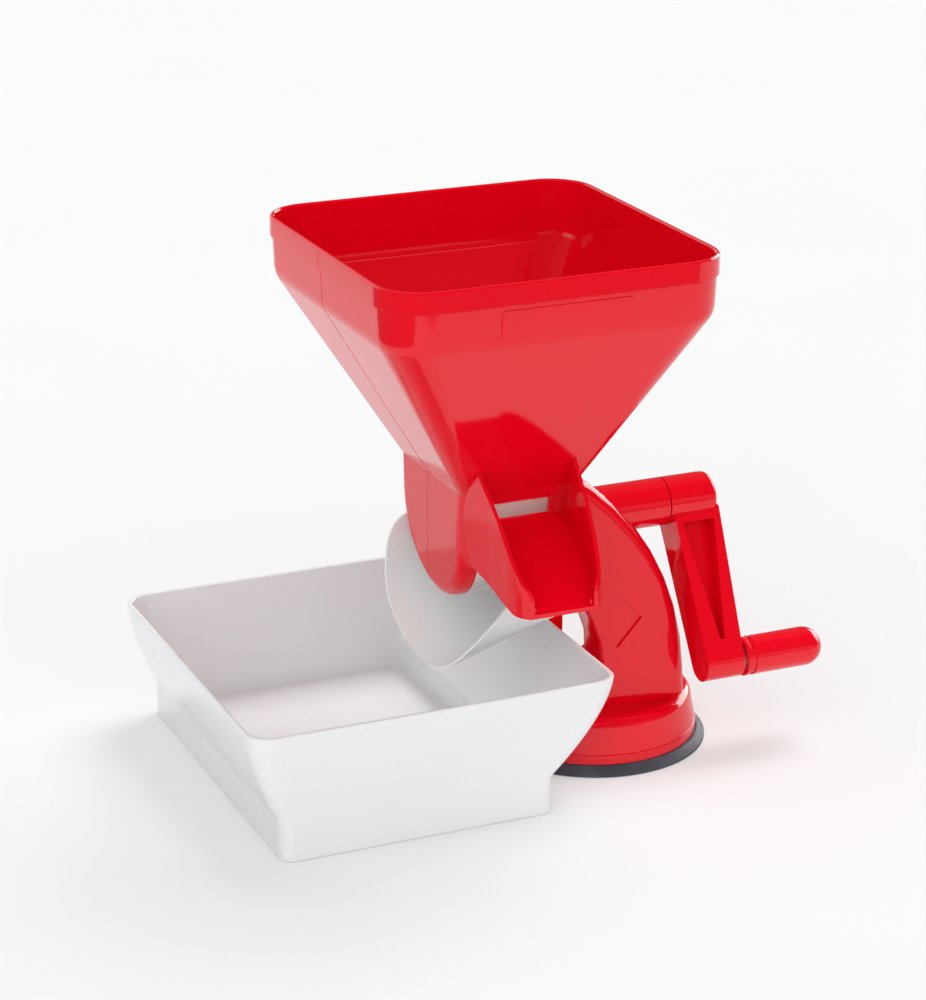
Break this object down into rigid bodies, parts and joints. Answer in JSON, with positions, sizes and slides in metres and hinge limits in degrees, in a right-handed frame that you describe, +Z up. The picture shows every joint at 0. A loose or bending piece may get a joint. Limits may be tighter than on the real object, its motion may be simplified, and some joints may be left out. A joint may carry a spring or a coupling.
{
  "type": "food mill",
  "caption": "Hand-cranked food mill on a suction base: square hopper, sieve barrel, waste chute, juice guard and catch bowl.",
  "frame": {"origin": "centre of the suction pad's flat underside, on the table", "axes": "+X along the crank axis towards the crank, -Y towards the waste chute, +Z up"},
  "size_m": [0.4087, 0.2615, 0.3447],
  "materials": {
    "red_plastic": "high gloss moulded plastic",
    "grip_plastic": "gloss moulded plastic, lightly handled",
    "lever_plastic": "gloss moulded plastic",
    "white_plastic": "glossy white moulded plastic",
    "bowl_plastic": "glossy white moulded plastic",
    "rotor_plastic": "satin food-safe plastic",
    "blade_plastic": "satin wear-resistant plastic",
    "bearing_plastic": "self-lubricating plastic",
    "sieve_steel": "perforated stainless sheet",
    "shaft_steel": "turned stainless steel",
    "spring_steel": "bright stainless spring steel",
    "zinc_steel": "bright zinc-plated steel",
    "pad_rubber": "matt blue-grey rubber",
    "seal_rubber": "soft black rubber"
  },
  "bodies": {
    "stand": {"hopper_body": "red_plastic", "waste_chute": "red_plastic", "sieve_screen": "sieve_steel", "leg_column": "red_plastic", "base_ring": "red_plastic", "base_screws": "zinc_steel", "suction_pad": "pad_rubber", "left_bush": "bearing_plastic", "inner_shaft_bush": "bearing_plastic", "outer_shaft_bush": "bearing_plastic", "shaft_seal": "seal_rubber"},
    "rotor": {"drive_shaft": "shaft_steel", "shaft_clip": "spring_steel", "rotor_drum": "rotor_plastic", "upper_blade_springs": "spring_steel", "lower_blade_springs": "spring_steel", "crank_arm": "red_plastic", "grip_spindle": "shaft_steel", "grip_washer": "zinc_steel"},
    "upper_wiper": {"upper_blade": "blade_plastic"},
    "lower_wiper": {"lower_blade": "blade_plastic"},
    "grip": {"hand_grip": "grip_plastic"},
    "lever": {"suction_lever": "lever_plastic", "lift_cam": "zinc_steel", "lever_axle_clip": "spring_steel"},
    "stud": {"suction_stud": "zinc_steel"},
    "guard": {"juice_guard": "white_plastic"},
    "bowl": {"catch_bowl": "bowl_plastic"}
  },
  "joints": [
    {"name": "crank_turn", "type": "hinge", "parent": "stand", "child": "rotor", "pos_m": [0, -0.009, 0.157], "axis": [1, 0, 0], "continuous": true},
    {"name": "grip_turn", "type": "hinge", "parent": "rotor", "child": "grip", "pos_m": [0, -0.05401, 0.06004], "axis": [1, 0, 0], "continuous": true},
    {"name": "upper_blade_press", "type": "slide", "parent": "rotor", "child": "upper_wiper", "axis": [0, 0, -1], "range_m": [0, 0.006], "stiffness_N_per_m": 400, "springref_m": -0.002, "deforming": ["upper_blade_springs"]},
    {"name": "lower_blade_press", "type": "slide", "parent": "rotor", "child": "lower_wiper", "axis": [0, 0, 1], "range_m": [0, 0.006], "stiffness_N_per_m": 400, "springref_m": -0.002, "deforming": ["lower_blade_springs"]},
    {"name": "lever_turn", "type": "hinge", "parent": "stand", "child": "lever", "pos_m": [0, 0.07, 0.019], "axis": [0, 1, 0], "range_deg": [0, 90]},
    {"name": "stud_lift", "type": "slide", "parent": "stand", "child": "stud", "axis": [0, 0, 1], "range_m": [0, 0.003]},
    {"name": "guard_slide", "type": "slide", "parent": "stand", "child": "guard", "axis": [-1, 0, 0], "range_m": [0, 0.08]},
    {"name": "bowl_slide", "type": "slide", "parent": "stand", "child": "bowl", "axis": [-1, 0, 0], "range_m": [0, 0.035]}
  ],
  "couplings": [
    {"joint": "lever_turn", "follows": "stud_lift", "rad_per_m": 523.59}
  ]
}
